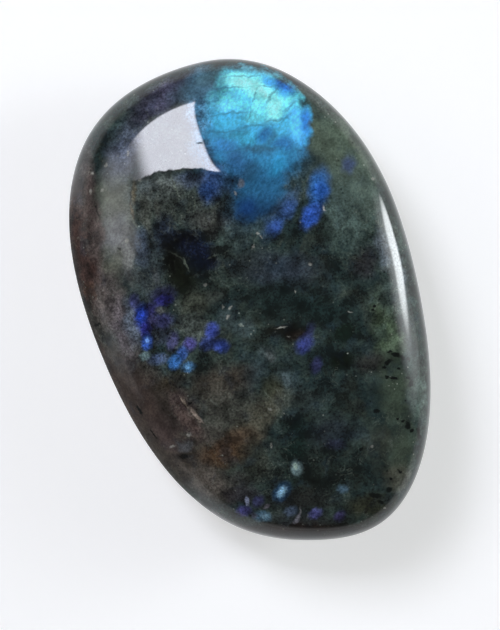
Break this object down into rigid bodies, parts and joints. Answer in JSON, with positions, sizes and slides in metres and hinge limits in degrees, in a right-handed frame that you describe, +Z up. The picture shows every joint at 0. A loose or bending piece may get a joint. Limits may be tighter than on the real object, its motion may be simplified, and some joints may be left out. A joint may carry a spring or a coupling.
{
  "type": "polished labradorite palm stone",
  "caption": "Smooth oval palm stone of polished dark labradorite, a low dome over a flatter underside that it rests on.",
  "frame": {"origin": "middle of the stone's footprint, on the surface it rests on", "axes": "+Z up through the domed face, +Y along the stone to the end with the bright blue flash, +X across its width"},
  "size_m": [0.0396, 0.06, 0.018],
  "materials": {
    "polished_labradorite": "high polish"
  },
  "bodies": {
    "root": {"labradorite_stone": "polished_labradorite"}
  },
  "joints": []
}
